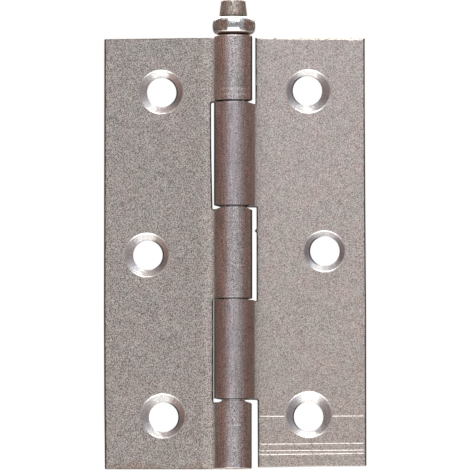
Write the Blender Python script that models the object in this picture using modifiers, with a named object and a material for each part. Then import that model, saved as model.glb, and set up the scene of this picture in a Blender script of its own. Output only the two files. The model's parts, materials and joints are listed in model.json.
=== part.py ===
"""Loose-pin butt hinge in raw sheet steel, laid open flat.

Each leaf is one sheet that runs flat and rolls round the pin. The frame leaf carries knuckles 1, 3 and 5,
counted from the top, and the door leaf knuckles 2 and 4. The pin is turned in one piece with its head.

Units are metres. +Z is up along the pin, +X runs from the frame leaf to the door leaf, and the front, on
which the barrel stands proud and the screws go in, faces -Y. The origin is the middle of the frame leaf's
flat back. Every piece is modelled about the pin's axis and hangs from an empty on it.
"""

import math
from collections import namedtuple

import bmesh
import bpy
from mathutils import Matrix, Vector

# Leaves
LEAF_HEIGHT = 0.1000
FRAME_LEAF_WIDTH = 0.0299  # from the pin's axis to the free edge
DOOR_LEAF_WIDTH = 0.0307
DOOR_LEAF_SHORT = 0.0004  # the door leaf's lower edge stops this much higher
SHEET = 0.0016

# Barrel
PIN_DIAMETER = 0.0054
PIN_CLEARANCE = 0.00005  # all round, a running fit in the knuckles
ROLL_GAP = 0.0003  # between the rolled sheet's end and the leaf's front face
CROWN_RISE = 0.00035  # the top knuckle's rounded end stands above the leaf's edge
CROWN_WIDTH = 0.0011  # of that rounding, across the sheet

# Knuckles and the gaps below and above them, counted from the nearer end; the middle one takes what is left
UPPER_KNUCKLES = (0.0151, 0.0240)
UPPER_GAPS = (0.00035, 0.00040)
LOWER_KNUCKLES = (0.01545, 0.02285)
LOWER_GAPS = (0.00055, 0.00030)

# Notches: clearance beside the other leaf's knuckle, at the notch's upper and lower corner
Notch = namedtuple("Notch", "knuckle upper lower")
FRAME_LEAF_NOTCHES = (Notch(2, 0.00077, 0.00044), Notch(4, 0.00015, 0.00015))
DOOR_LEAF_NOTCHES = (Notch(1, 0.00085, 0.00085), Notch(3, 0.00105, 0.00105), Notch(5, 0.00135, 0.00135))
NOTCH_CORNER = 0.0004

# Screw holes: inset from the free edge, distance from the leaf's end (for the middle hole, height above
# the leaf's middle), and how far the countersink drifted off the hole
Hole = namedtuple("Hole", "place inset along drift_x drift_z")
FRAME_LEAF_HOLES = (
    Hole("top", 0.0133, 0.0127, -0.00020, 0.00000),
    Hole("middle", 0.01015, -0.0005, -0.00025, 0.00000),
    Hole("bottom", 0.0138, 0.0120, 0.00005, 0.00035),
)
DOOR_LEAF_HOLES = (
    Hole("top", 0.0135, 0.0123, 0.00030, -0.00015),
    Hole("middle", 0.0095, 0.00045, 0.00005, 0.00000),
    Hole("bottom", 0.0133, 0.0117, 0.00030, 0.00030),
)
HOLE_DIAMETER = 0.0068
SINK_DIAMETER = 0.0106  # at the front face
HOLE_LAND = 0.0003  # straight stretch between the countersink and the back

# Pin
HEAD_GAP = 0.0002  # between the top knuckle and the bead that rests on it
BEAD_DIAMETER = 0.0101
BEAD_HEIGHT = 0.0041
BEAD_TAPER_ABOVE = 0.18  # share of its radius that the bead loses from its middle to its upper corner
BEAD_TAPER_BELOW = 0.11
BEAD_SQUARENESS = 8.0  # a higher exponent gives it a tighter corner
CAP_BASE_DIAMETER = 0.0065
CAP_TOP_DIAMETER = 0.0057
CAP_HEIGHT = 0.0038
CAP_ROUND = 0.0004
PIN_END_INSET = 0.0002  # the pin's lower end stops inside the bottom knuckle
PIN_END_CHAMFER = 0.0005

# Facets
ROLL_STEPS = 60
TURNED_STEPS = 48
HOLE_STEPS = 48
BEAD_STEPS = 20
CROWN_STEPS = 6
CAP_ROUND_STEPS = 4
CORNER_STEPS = 4
CUT_MARGIN = 0.0015  # how far a cutter reaches past what it cuts
MERGE = 0.000001

# Worked out from the sizes above
BORE_RADIUS = PIN_DIAMETER / 2 + PIN_CLEARANCE
BARREL_RADIUS = BORE_RADIUS + SHEET
LEAF_TOP = LEAF_HEIGHT / 2
LEAF_FOOT = -LEAF_HEIGHT / 2
DOOR_LEAF_FOOT = LEAF_FOOT + DOOR_LEAF_SHORT
CROWN_TOP = LEAF_TOP + CROWN_RISE
BEAD_FOOT = CROWN_TOP + HEAD_GAP
AXIS_PLACE = (FRAME_LEAF_WIDTH / 2, -BARREL_RADIUS, 0.0)

# The side of the pin on which a leaf lies
FRAME_SIDE = -1
DOOR_SIDE = 1


def clear_scene():
    for item in list(bpy.data.objects):
        bpy.data.objects.remove(item, do_unlink=True)


def new_collection(name):
    collection = bpy.data.collections.new(name)
    bpy.context.scene.collection.children.link(collection)
    return collection


def new_object(name, bm, collection, parent):
    """An object from a bmesh, with its origin on the pin's axis."""
    mesh = bpy.data.meshes.new(name)
    bm.to_mesh(mesh)
    bm.free()
    item = bpy.data.objects.new(name, mesh)
    item.parent = parent
    collection.objects.link(item)
    return item


def hide_cutter(item):
    item.hide_render = True
    item.display_type = "WIRE"


def cut(item, cutter):
    boolean = item.modifiers.new(cutter.name, "BOOLEAN")
    boolean.operation = "DIFFERENCE"
    boolean.solver = "EXACT"
    boolean.object = cutter


def turn(item, steps):
    """Turns an open profile in the XZ plane about the pin's axis."""
    screw = item.modifiers.new("turned", "SCREW")
    screw.axis = "Z"
    screw.angle = math.tau
    screw.steps = steps
    screw.render_steps = steps
    screw.use_merge_vertices = True
    screw.merge_threshold = MERGE


def chain(points):
    """A bmesh of one line of edges through the points."""
    bm = bmesh.new()
    verts = [bm.verts.new(point) for point in points]
    for first, second in zip(verts, verts[1:]):
        bm.edges.new((first, second))
    return bm


def arc(center, width, height, start, end, steps):
    """Points on an ellipse's arc in the XZ plane, angles from +X towards +Z."""
    points = []
    for step in range(steps + 1):
        angle = start + (end - start) * step / steps
        x = center[0] + width * math.cos(angle)
        z = center[1] + height * math.sin(angle)
        points.append(Vector((x, 0.0, z)))
    return points


def knuckle_spans():
    """Lower and upper end of each knuckle, from the top one down."""
    first_foot = LEAF_TOP - UPPER_KNUCKLES[0]
    second_top = first_foot - UPPER_GAPS[0]
    second_foot = second_top - UPPER_KNUCKLES[1]
    fifth_top = LEAF_FOOT + LOWER_KNUCKLES[0]
    fourth_foot = fifth_top + LOWER_GAPS[0]
    fourth_top = fourth_foot + LOWER_KNUCKLES[1]
    return (
        (first_foot, CROWN_TOP),
        (second_foot, second_top),
        (fourth_top + LOWER_GAPS[1], second_foot - UPPER_GAPS[1]),
        (fourth_foot, fourth_top),
        (LEAF_FOOT, fifth_top),
    )


def sheet_section(side, width):
    """The sheet's middle line across the pin: flat from the free edge, then rolled back round to its end."""
    middle = BORE_RADIUS + SHEET / 2
    end_angle = math.pi - math.asin((BORE_RADIUS - ROLL_GAP) / BARREL_RADIUS)
    sweep = math.pi / 2 + math.tau - end_angle
    points = [Vector((side * width, middle, 0.0))]
    for step in range(ROLL_STEPS + 1):
        angle = math.pi / 2 - sweep * step / ROLL_STEPS
        points.append(Vector((-side * middle * math.cos(angle), middle * math.sin(angle), 0.0)))
    return points


def rolled_sheet(name, side, width, foot, top, collection, axis):
    """The leaf's blank at full height, with one unbroken barrel."""
    bm = chain(sheet_section(side, width))
    bmesh.ops.translate(bm, verts=bm.verts, vec=(0.0, 0.0, foot))
    raised = bmesh.ops.extrude_edge_only(bm, edges=bm.edges)["geom"]
    raised_verts = [part for part in raised if isinstance(part, bmesh.types.BMVert)]
    bmesh.ops.translate(bm, verts=raised_verts, vec=(0.0, 0.0, top - foot))
    leaf = new_object(name, bm, collection, axis)
    solidify = leaf.modifiers.new("sheet", "SOLIDIFY")
    solidify.thickness = SHEET
    solidify.offset = 0.0
    solidify.use_even_offset = True
    return leaf


def notch_cutter(name, side, foot, top, clear_foot, clear_top, collection, axis):
    """Clears the other leaf's knuckle: a block across the barrel with rounded corners in the leaf."""
    reach = BARREL_RADIUS + CUT_MARGIN
    bm = bmesh.new()
    bmesh.ops.create_cube(bm, size=2.0)
    corners = []
    for edge in bm.edges:
        low, high = edge.verts
        along_y = abs(low.co.y - high.co.y) > 1.0
        if along_y and low.co.x > 0.0:
            corners.append(edge)
    for vert in bm.verts:
        at_top = vert.co.z > 0.0
        clear = clear_top if at_top else clear_foot
        x = BARREL_RADIUS + clear if vert.co.x > 0.0 else -reach
        vert.co = (side * x, reach * vert.co.y, top if at_top else foot)
    bmesh.ops.bevel(bm, geom=corners, offset=NOTCH_CORNER, segments=CORNER_STEPS, profile=0.5, affect="EDGES")
    bmesh.ops.recalc_face_normals(bm, faces=bm.faces)
    cutter = new_object(name, bm, collection, axis)
    hide_cutter(cutter)
    return cutter


def cut_notches(leaf, side, notches, spans, collection, axis):
    """A notch reaches from the leaf's own knuckle above it to the one below, or past the leaf's end."""
    for notch in notches:
        above = notch.knuckle - 2
        below = notch.knuckle
        top = spans[above][0] if above >= 0 else LEAF_TOP + CUT_MARGIN
        foot = spans[below][1] if below < len(spans) else LEAF_FOOT - CUT_MARGIN
        name = f"{leaf.name}_notch_{notch.knuckle}"
        cut(leaf, notch_cutter(name, side, foot, top, notch.lower, notch.upper, collection, axis))


def hole_place(side, width, foot, hole):
    """Centre of a screw hole in the leaf's plane."""
    x = side * (width - hole.inset)
    heights = {"top": LEAF_TOP - hole.along, "middle": hole.along, "bottom": foot + hole.along}
    return x, heights[hole.place]


def hole_cutter(name, x, z, front_radius, back_radius, front, back, collection, axis):
    """A straight or tapered round cutter along Y, from the front towards the back."""
    bm = bmesh.new()
    bmesh.ops.create_cone(
        bm,
        cap_ends=True,
        segments=HOLE_STEPS,
        radius1=front_radius,
        radius2=back_radius,
        depth=back - front,
    )
    lay_down = Matrix.Rotation(-math.pi / 2, 4, "X")
    place = Matrix.Translation((x, (front + back) / 2, z))
    bmesh.ops.transform(bm, matrix=place @ lay_down, verts=bm.verts)
    cutter = new_object(name, bm, collection, axis)
    hide_cutter(cutter)
    return cutter


def cut_holes(leaf, side, width, foot, holes, collection, axis):
    """Drills each hole and countersinks it from the front."""
    hole_radius = HOLE_DIAMETER / 2
    sink_radius = SINK_DIAMETER / 2
    front = BORE_RADIUS - CUT_MARGIN
    back = BARREL_RADIUS + CUT_MARGIN
    spread = (sink_radius - hole_radius) / (SHEET - HOLE_LAND)
    sink_point = BORE_RADIUS + sink_radius / spread
    for hole in holes:
        x, z = hole_place(side, width, foot, hole)
        name = f"{leaf.name}_{hole.place}"
        drill = hole_cutter(f"{name}_drill", x, z, hole_radius, hole_radius, front, back, collection, axis)
        sink_x = x + hole.drift_x
        sink_z = z + hole.drift_z
        wide = sink_radius + spread * CUT_MARGIN
        sink = hole_cutter(f"{name}_sink", sink_x, sink_z, wide, 0.0, front, sink_point, collection, axis)
        cut(leaf, drill)
        cut(leaf, sink)


def crown_cutter(collection, axis):
    """Trims the frame leaf's upper edge and rounds the top knuckle's end that stands above it."""
    far = 2 * FRAME_LEAF_WIDTH
    roof = CROWN_TOP + 2 * CUT_MARGIN
    shoulder = arc(
        (BARREL_RADIUS - CROWN_WIDTH, LEAF_TOP), CROWN_WIDTH, CROWN_RISE, 0.0, math.pi / 2, CROWN_STEPS
    )
    points = [Vector((0.0, 0.0, roof)), Vector((far, 0.0, roof)), Vector((far, 0.0, LEAF_TOP))]
    points += shoulder
    points.append(Vector((0.0, 0.0, CROWN_TOP)))
    cutter = new_object("frame_leaf_crown", chain(points), collection, axis)
    turn(cutter, TURNED_STEPS)
    hide_cutter(cutter)
    return cutter


def steel(name, color, roughness):
    material = bpy.data.materials.new(name)
    material.use_nodes = True
    shader = material.node_tree.nodes["Principled BSDF"]
    shader.inputs["Base Color"].default_value = (*color, 1.0)
    shader.inputs["Roughness"].default_value = roughness
    shader.inputs["Metallic"].default_value = 1.0
    return material


def frame_leaf_steel():
    return steel("frame_leaf_steel", (0.33, 0.29, 0.28), 0.55)


def door_leaf_steel():
    return steel("door_leaf_steel", (0.40, 0.35, 0.34), 0.55)


def pin_steel():
    return steel("pin_steel", (0.45, 0.42, 0.40), 0.25)


def finish(item, material):
    item.data.materials.append(material)
    item.data.shade_smooth()
    item.data.set_sharp_from_angle(angle=math.radians(30))


def build_frame_leaf(parts, cutters, axis):
    side = FRAME_SIDE
    width = FRAME_LEAF_WIDTH
    blank_top = CROWN_TOP + CUT_MARGIN
    leaf = rolled_sheet("frame_leaf", side, width, LEAF_FOOT, blank_top, parts, axis)
    cut(leaf, crown_cutter(cutters, axis))
    cut_notches(leaf, side, FRAME_LEAF_NOTCHES, knuckle_spans(), cutters, axis)
    cut_holes(leaf, side, width, LEAF_FOOT, FRAME_LEAF_HOLES, cutters, axis)
    finish(leaf, frame_leaf_steel())


def build_door_leaf(parts, cutters, axis):
    side = DOOR_SIDE
    width = DOOR_LEAF_WIDTH
    leaf = rolled_sheet("door_leaf", side, width, DOOR_LEAF_FOOT, LEAF_TOP, parts, axis)
    cut_notches(leaf, side, DOOR_LEAF_NOTCHES, knuckle_spans(), cutters, axis)
    cut_holes(leaf, side, width, DOOR_LEAF_FOOT, DOOR_LEAF_HOLES, cutters, axis)
    finish(leaf, door_leaf_steel())


def bead_section():
    """The bead's outer side, from the foot of the cap down to the shank."""
    half = BEAD_HEIGHT / 2
    points = []
    for step in range(1, BEAD_STEPS):
        height = math.cos(math.pi * step / BEAD_STEPS)
        taper = BEAD_TAPER_ABOVE if height > 0.0 else BEAD_TAPER_BELOW
        neck = CAP_BASE_DIAMETER / 2 if height > 0.0 else PIN_DIAMETER / 2
        corner = (1 - abs(height) ** BEAD_SQUARENESS) ** 0.25
        x = BEAD_DIAMETER / 2 * (1 - taper * height**2) * corner
        if x > neck:
            points.append(Vector((x, 0.0, BEAD_FOOT + half + half * height)))
    return points


def pin_section():
    """The pin's outer side, from the top of the cap down to the lower end."""
    bead_top = BEAD_FOOT + BEAD_HEIGHT
    cap_top = bead_top + CAP_HEIGHT
    cap_edge = CAP_TOP_DIAMETER / 2 - CAP_ROUND
    shank = PIN_DIAMETER / 2
    end = LEAF_FOOT + PIN_END_INSET
    points = [Vector((0.0, 0.0, cap_top))]
    points += arc((cap_edge, cap_top - CAP_ROUND), CAP_ROUND, CAP_ROUND, math.pi / 2, 0.0, CAP_ROUND_STEPS)
    points.append(Vector((CAP_BASE_DIAMETER / 2, 0.0, bead_top)))
    points += bead_section()
    points.append(Vector((shank, 0.0, BEAD_FOOT)))
    points.append(Vector((shank, 0.0, end + PIN_END_CHAMFER)))
    points.append(Vector((shank - PIN_END_CHAMFER, 0.0, end)))
    points.append(Vector((0.0, 0.0, end)))
    return points


def build_pin(parts, axis):
    pin = new_object("pin", chain(pin_section()), parts, axis)
    turn(pin, TURNED_STEPS)
    finish(pin, pin_steel())


def build():
    clear_scene()
    parts = new_collection("butt_hinge")
    cutters = new_collection("cutters")
    axis = bpy.data.objects.new("pin_axis", None)
    axis.location = AXIS_PLACE
    parts.objects.link(axis)
    build_frame_leaf(parts, cutters, axis)
    build_door_leaf(parts, cutters, axis)
    build_pin(parts, axis)


build()
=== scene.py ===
"""Looks of a loose-pin butt hinge in raw sheet steel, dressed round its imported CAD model.

Lengths are in metres. X runs from the frame leaf to the door leaf, Y out of the backs of the leaves and Z up
the pin. A leaf is made as a flat blank in three coordinates, which are then rolled round the pin:
along   from the free edge (negative) over the start of the roll (0) to the roll's end,
z       up the leaf,
depth   from the back of the sheet (0), the barrel's outside, to its front, the bore.
"""

import json
import math
from collections import namedtuple

import bpy
import numpy as np
from mathutils import Matrix, Vector, noise

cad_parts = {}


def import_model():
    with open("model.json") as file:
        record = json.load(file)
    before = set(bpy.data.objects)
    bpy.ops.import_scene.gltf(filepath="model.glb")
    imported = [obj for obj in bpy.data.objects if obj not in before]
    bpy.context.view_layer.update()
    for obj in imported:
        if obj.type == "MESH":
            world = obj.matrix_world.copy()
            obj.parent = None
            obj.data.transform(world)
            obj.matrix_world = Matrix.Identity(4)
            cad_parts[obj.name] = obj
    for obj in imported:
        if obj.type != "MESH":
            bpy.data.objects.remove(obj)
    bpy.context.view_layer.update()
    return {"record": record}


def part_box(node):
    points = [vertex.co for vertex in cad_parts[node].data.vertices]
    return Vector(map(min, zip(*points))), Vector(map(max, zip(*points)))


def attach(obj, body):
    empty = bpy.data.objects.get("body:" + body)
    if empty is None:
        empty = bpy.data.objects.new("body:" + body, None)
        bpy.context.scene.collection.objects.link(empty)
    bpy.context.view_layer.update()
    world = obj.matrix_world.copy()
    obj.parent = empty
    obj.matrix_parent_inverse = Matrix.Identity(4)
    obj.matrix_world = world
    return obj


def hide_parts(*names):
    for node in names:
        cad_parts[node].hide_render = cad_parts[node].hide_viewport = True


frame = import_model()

FRAME_LEAF_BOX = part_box("frame_leaf")
DOOR_LEAF_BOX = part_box("door_leaf")
PIN_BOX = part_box("pin")

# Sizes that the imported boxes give
AXIS_X = (PIN_BOX[0].x + PIN_BOX[1].x) / 2
AXIS_Y = (PIN_BOX[0].y + PIN_BOX[1].y) / 2
BARREL_RADIUS = -AXIS_Y
LEAF_TOP = DOOR_LEAF_BOX[1].z
CROWN_TOP = FRAME_LEAF_BOX[1].z - 0.0002
BEAD_RADIUS = (PIN_BOX[1].x - PIN_BOX[0].x) / 2
PIN_END = PIN_BOX[0].z
CAP_TOP = PIN_BOX[1].z - 0.0002

# Sheet and barrel, as in the CAD model
SHEET = 0.0016
ROLL_GAP = 0.0003
CROWN_WIDTH = 0.0011
CROWN_DROP = 0.0001  # how much lower the crown's rim lies at the front
BORE_RADIUS = BARREL_RADIUS - SHEET
MIDDLE_RADIUS = BARREL_RADIUS - SHEET / 2
ROLL_SWEEP = math.pi / 2 + math.pi + math.asin((BORE_RADIUS - ROLL_GAP) / BARREL_RADIUS)
ROLL_LENGTH = ROLL_SWEEP * MIDDLE_RADIUS
CROWN_REACH = 0.0006  # the crown's rounding fades out over this height
FLARE_START = 0.58  # of a turn round the pin
FLARE_SPAN = 0.18

# Knuckles' lower and upper ends, from the top one down
FIRST_FOOT = LEAF_TOP - 0.0151
SECOND_TOP = FIRST_FOOT - 0.00035
SECOND_FOOT = SECOND_TOP - 0.0240
THIRD_TOP = SECOND_FOOT - 0.00040
FIFTH_TOP = FRAME_LEAF_BOX[0].z + 0.01545
FOURTH_FOOT = FIFTH_TOP + 0.00055
FOURTH_TOP = FOURTH_FOOT + 0.02285
THIRD_FOOT = FOURTH_TOP + 0.00030
FIFTH_FOOT = FRAME_LEAF_BOX[0].z

# A knuckle: its lower and upper end, and how far its foot and its top fall back at the barrel's sides,
# where rolling drew them, each on the leaf's own side and on the other one
Span = namedtuple("Span", "foot top foot_near foot_far top_near top_far")
# A notch: its lower and upper end, and its clearance beside the barrel, as pairs of a place up the notch,
# from 0 to 1, and the clearance there
Notch = namedtuple("Notch", "foot top clear")
# A screw hole: its centre, and its countersink's drift off it and radius
Hole = namedtuple("Hole", "x z drift_x drift_z sink_radius")
# A line scribed across a leaf: its height at the barrel and at the free edge, the widths of the burr above
# it and of its groove
Scribe = namedtuple("Scribe", "z_inner z_outer burr groove")
# A burr on a notch's edge: its height up the leaf, half its length and how far it stands out
Burr = namedtuple("Burr", "z half reach")
# A leaf. Its top, foot and side lines give how far a cut edge runs inside the leaf's box, as pairs of a
# place along the edge, from 0 at the free edge or the foot to 1, and the inset there. The side rim is how
# wide the free edge's broken corner is. Swell is how much wider the roll stands beyond the first quarter
# turn, and flare how far its end stands out over the leaf, as pairs of a place up the leaf, from 0 to 1,
# and the width there.
Leaf = namedtuple(
    "Leaf",
    "node side free_edge foot top spans notches holes scribes burrs "
    "top_line foot_line side_line side_rim swell flare",
)

HOLE_RADIUS = 0.0034
HOLE_LAND = 0.0003
LAND_FLARE = 0.00022  # the land widens this much towards the countersink
SINK_LEAN = 0.62  # how far the countersink's face turns towards the hole's middle, as a sine
RING_HEIGHT = 0.000006  # of the rings that the countersinking tool leaves
CUT_CLEAR = 0.0010  # the cutters stand this far out of the sheet

# Pin
BEAD_HEIGHT = 0.0043
BEAD_FOOT = CROWN_TOP + 0.0001
BEAD_TOP = BEAD_FOOT + BEAD_HEIGHT
BEAD_OFFSET = 0.00015  # the bead is turned this much off the pin's axis
BEAD_WIDTH = 0.984  # its width across the leaves, as a share of its depth
SHANK_RADIUS = 0.0027
CAP_BASE_RADIUS = 0.00325
CAP_TOP_RADIUS = 0.00285
# The bead's halves, as seen from its middle: how much narrower it gets, how square its corner is and the
# radius of what it meets
BEAD_ABOVE = (0.165, 8.0, CAP_BASE_RADIUS)
BEAD_BELOW = (0.105, 8.5, SHANK_RADIUS)
CAP_ROUND = 0.0004
END_CHAMFER = 0.0005

# Fineness
GRID = 0.0006
LEAST_STEP = 0.00003
ROLL_STEPS = 96
TURNED_STEPS = 128
SINK_STEPS = 96
SINK_RINGS = 14
CAP_STEPS = 6
BEAD_STEPS = 56
SHANK_STEPS = 40
SLACK = 0.000001  # places closer than this count as one
# An edge that turns by more than this, in degrees, is shaded as sharp
LEAF_SHARP = 38
PIN_SHARP = 32

# Cut edges
NOTCH_RIM = 0.00032
TOP_RIM = 0.00030
FOOT_RIM = 0.00014
# Width of the door leaf's rolled-over top edge, as pairs of a place along it, from 0 at the free edge to 1,
# and the width there
BENT_RIM = (
    (0.0, 0.00050),
    (0.12, 0.00056),
    (0.19, 0.00060),
    (0.41, 0.00047),
    (0.68, 0.00045),
    (1.0, 0.00024),
)
BACK_RIM = 0.00008
KNUCKLE_RIM = 0.00026
RIM_REACH = 0.0014
KNUCKLE_REACH = 0.001  # how far a knuckle and its notch change the edges beside them
RIM_PUSH = 1.3  # the sheet's face moves this many rims away from an edge
RIM_SLOPE = 0.8  # how straight a sloped rim is: 0 is round and 1 is flat
CORNER_FIT = 1.3  # a corner is rounded where the grid's marks lie within this many radii of it
NOTCH_CORNER = 0.0004
LEAF_CORNER = 0.0003
EDGE_REACH = 0.0025
NOTCH_REACH = 0.005
DIP_REACH = 0.0015
DIP_START = 0.62  # how far round the barrel's side the knuckles' ends start to fall back, as a cosine
SCRIBE_RELIEF = 0.000033
SCRIBE_START = 0.0012  # from the barrel's side
SCRIBE_END = 0.0003
SCRIBE_FADE = 0.0008

# Unevenness of the sheet's faces and of its rims' widths
WAVE_LENGTH = 0.004
WAVE_HEIGHT = 0.000012
RAGGED_LENGTH = 0.0006
RAGGED_SHARE = 0.45

# Slots of a leaf's materials
SHEET_FACE, CUT_EDGE, BURR_LINE, BENT_EDGE = range(4)


# Blank of a leaf


def spread(marks, step):
    """Grid lines through all the marks, at most a step apart."""
    lines = []
    for low, high in zip(marks, marks[1:]):
        count = max(1, math.ceil((high - low) / step - SLACK))
        lines += [low + (high - low) * part / count for part in range(count)]
    return lines + [marks[-1]]


def corner_marks(corner, radius, way):
    """Grid lines that let a corner be rounded in four steps."""
    return [corner, corner + way * radius, corner + way * radius * (1 - math.sin(math.pi / 8))]


def unique(marks):
    """Marks in order, without those that nearly coincide."""
    kept = []
    for mark in sorted(marks):
        if not kept or mark - kept[-1] > LEAST_STEP:
            kept.append(mark)
    return kept


def value_at(place, pairs):
    """The value at a place, between the pairs of a place and a value."""
    return np.interp(place, *zip(*pairs))


def nearness(distance, reach):
    """1 at distance 0, down to 0 at the reach."""
    return np.clip(1 - distance / reach, 0.0, 1.0)


def middle_of(scribe):
    """Height of a scribed line half way along it."""
    return (scribe.z_inner + scribe.z_outer) / 2


def width_of(leaf):
    """The leaf's width, from the pin's axis to the free edge."""
    return abs(leaf.free_edge - AXIS_X)


def blank_lines(leaf):
    """Grid lines of a blank along and up, with the index of the line on which the notches lie."""
    width = width_of(leaf)
    widest = max(clear for notch in leaf.notches for _, clear in notch.clear)
    notch_line = -(BARREL_RADIUS + widest)
    flat = corner_marks(-width, LEAF_CORNER, 1)
    flat += corner_marks(notch_line, NOTCH_CORNER, 1) + [0.0]
    flat = spread(unique(flat), GRID)
    roll = [ROLL_LENGTH * step / ROLL_STEPS for step in range(1, ROLL_STEPS + 1)]
    marks = corner_marks(leaf.foot, LEAF_CORNER, 1) + corner_marks(leaf.top, LEAF_CORNER, -1)
    for notch in leaf.notches:
        for end, way in ((notch.foot, 1), (notch.top, -1)):
            if leaf.foot < end < leaf.top:
                marks += corner_marks(end, NOTCH_CORNER, way)
    for span in leaf.spans:
        marks += [span.foot, min(span.top, leaf.top)]
    for scribe in leaf.scribes:
        middle = middle_of(scribe)
        marks += [middle - scribe.groove, middle - scribe.groove / 2, middle]
        marks += [middle + scribe.burr / 2, middle + scribe.burr]
    for burr in leaf.burrs:
        marks += [burr.z + burr.half * part for part in (-1.0, -0.5, 0.0, 0.5, 1.0)]
    return flat + roll, spread(unique(marks), GRID), notch_line


def kept_cells(leaf, along, rows, notch_line):
    """Which cells of the grid are sheet."""
    in_leaf = np.array(along[1:]) <= notch_line + SLACK
    middles = (np.array(rows[:-1]) + rows[1:]) / 2
    in_knuckle = [any(span.foot < z < span.top for span in leaf.spans) for z in middles]
    return in_leaf[:, None] | np.array(in_knuckle)


def slant_notches(leaf, grid, rows, notch_line):
    """Moves the grid near a notch so that its edge has its own clearance at each end."""
    for notch in leaf.notches:
        for row, z in enumerate(rows):
            if notch.foot - SLACK <= z <= notch.top + SLACK:
                share = (z - notch.foot) / (notch.top - notch.foot)
                clear = value_at(share, notch.clear)
                shift = -(BARREL_RADIUS + clear) - notch_line
                across = grid[:, row, 0]
                near = nearness(notch_line - across, NOTCH_REACH)
                near[across > notch_line + SLACK] = 0.0
                on_edge = np.abs(across - notch_line) < SLACK
                bumps = [burr.reach * max(0.0, 1 - abs(z - burr.z) / burr.half) for burr in leaf.burrs]
                grid[:, row, 0] += shift * near + max(bumps, default=0.0) * on_edge


def shape_edges(leaf, grid, notch_line):
    """Moves the grid near the leaf's top, foot and free edge, which run a little out of square."""
    width = width_of(leaf)
    along = grid[..., 0].copy()
    z = grid[..., 1].copy()
    inwards = (along + width) / (width + notch_line)
    upwards = (z - leaf.foot) / (leaf.top - leaf.foot)
    in_sheet = np.clip(along / notch_line, 0.0, 1.0)
    near_top = in_sheet * nearness(leaf.top - z, EDGE_REACH)
    near_foot = in_sheet * nearness(z - leaf.foot, EDGE_REACH)
    near_side = nearness(along + width, EDGE_REACH)
    grid[..., 1] -= near_top * value_at(inwards, leaf.top_line)
    grid[..., 1] += near_foot * value_at(inwards, leaf.foot_line)
    grid[..., 0] += near_side * value_at(upwards, leaf.side_line)


def dip_knuckles(leaf, grid, along, rows):
    """Lets the knuckles' facing ends fall back a little at the barrel's sides."""
    across = np.cos(math.pi / 2 - np.maximum(along, 0.0) / MIDDLE_RADIUS) * (np.array(along) > SLACK)
    near = np.clip((-across - DIP_START) / (1 - DIP_START), 0.0, 1.0)
    far = np.clip((across - DIP_START) / (1 - DIP_START), 0.0, 1.0)
    for span in leaf.spans:
        top_dip = span.top_near * near + span.top_far * far
        foot_dip = span.foot_near * near + span.foot_far * far
        for row, z in enumerate(rows):
            if span.foot - SLACK <= z <= span.top + SLACK:
                grid[:, row, 1] -= top_dip * max(0.0, 1 - (span.top - z) / DIP_REACH)
                grid[:, row, 1] += foot_dip * max(0.0, 1 - (z - span.foot) / DIP_REACH)


def slope_scribes(leaf, grid, notch_line):
    """Lays the grid's lines along the scribed lines, which aren't quite level."""
    if not leaf.scribes:
        return
    width = width_of(leaf)
    scribes = sorted(leaf.scribes, key=lambda scribe: scribe.z_inner)
    slopes = [(scribes[0].z_inner - SCRIBE_FADE, 0.0)]
    slopes += [(middle_of(scribe), scribe.z_outer - scribe.z_inner) for scribe in scribes]
    slopes.append((scribes[-1].z_inner + SCRIBE_FADE, 0.0))
    outwards = np.clip((notch_line - grid[..., 0]) / (notch_line + width), 0.0, 1.0) - 0.5
    sheet = grid[..., 0] <= notch_line + SLACK
    shift = value_at(grid[..., 1], slopes) * outwards
    grid[..., 1] += np.where(sheet, shift, 0.0)


def scribe_relief(leaf, along, z):
    """How far a scribed line raises or sinks the front face at a grid line, before the line's slope."""
    width = width_of(leaf)
    if along < -width + SCRIBE_END or along > -(BARREL_RADIUS + SCRIBE_START):
        return 0.0
    for scribe in leaf.scribes:
        middle = middle_of(scribe)
        if abs(z - (middle + scribe.burr / 2)) < SLACK:
            return SCRIBE_RELIEF
        if abs(z - (middle - scribe.groove / 2)) < SLACK:
            return -SCRIBE_RELIEF
    return 0.0


def face_material(leaf, along, z):
    """Material of the front face at the middle of a cell of the grid."""
    width = width_of(leaf)
    if along < -width + SCRIBE_END or along > -BARREL_RADIUS:
        return SHEET_FACE
    for scribe in leaf.scribes:
        middle = middle_of(scribe)
        if middle < z < middle + scribe.burr:
            return BURR_LINE
        if middle - scribe.groove < z < middle:
            return CUT_EDGE
    return SHEET_FACE


def cells(kept):
    """Each kept cell with its four corners, counterclockwise."""
    for c, r in zip(*np.nonzero(kept)):
        yield c, r, ((c, r), (c + 1, r), (c + 1, r + 1), (c, r + 1))


def outline_edges(kept):
    """Edges of the kept cells that have sheet on one side only, as pairs of grid points with the sheet on
    their left."""
    padded = np.pad(kept, 1)
    edges = []
    for c, r, ring in cells(kept):
        beyond = ((c + 1, r), (c + 2, r + 1), (c + 1, r + 2), (c, r + 1))
        for first, second, cell in zip(ring, ring[1:] + ring[:1], beyond):
            if not padded[cell]:
                edges.append((first, second))
    return edges


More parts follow.
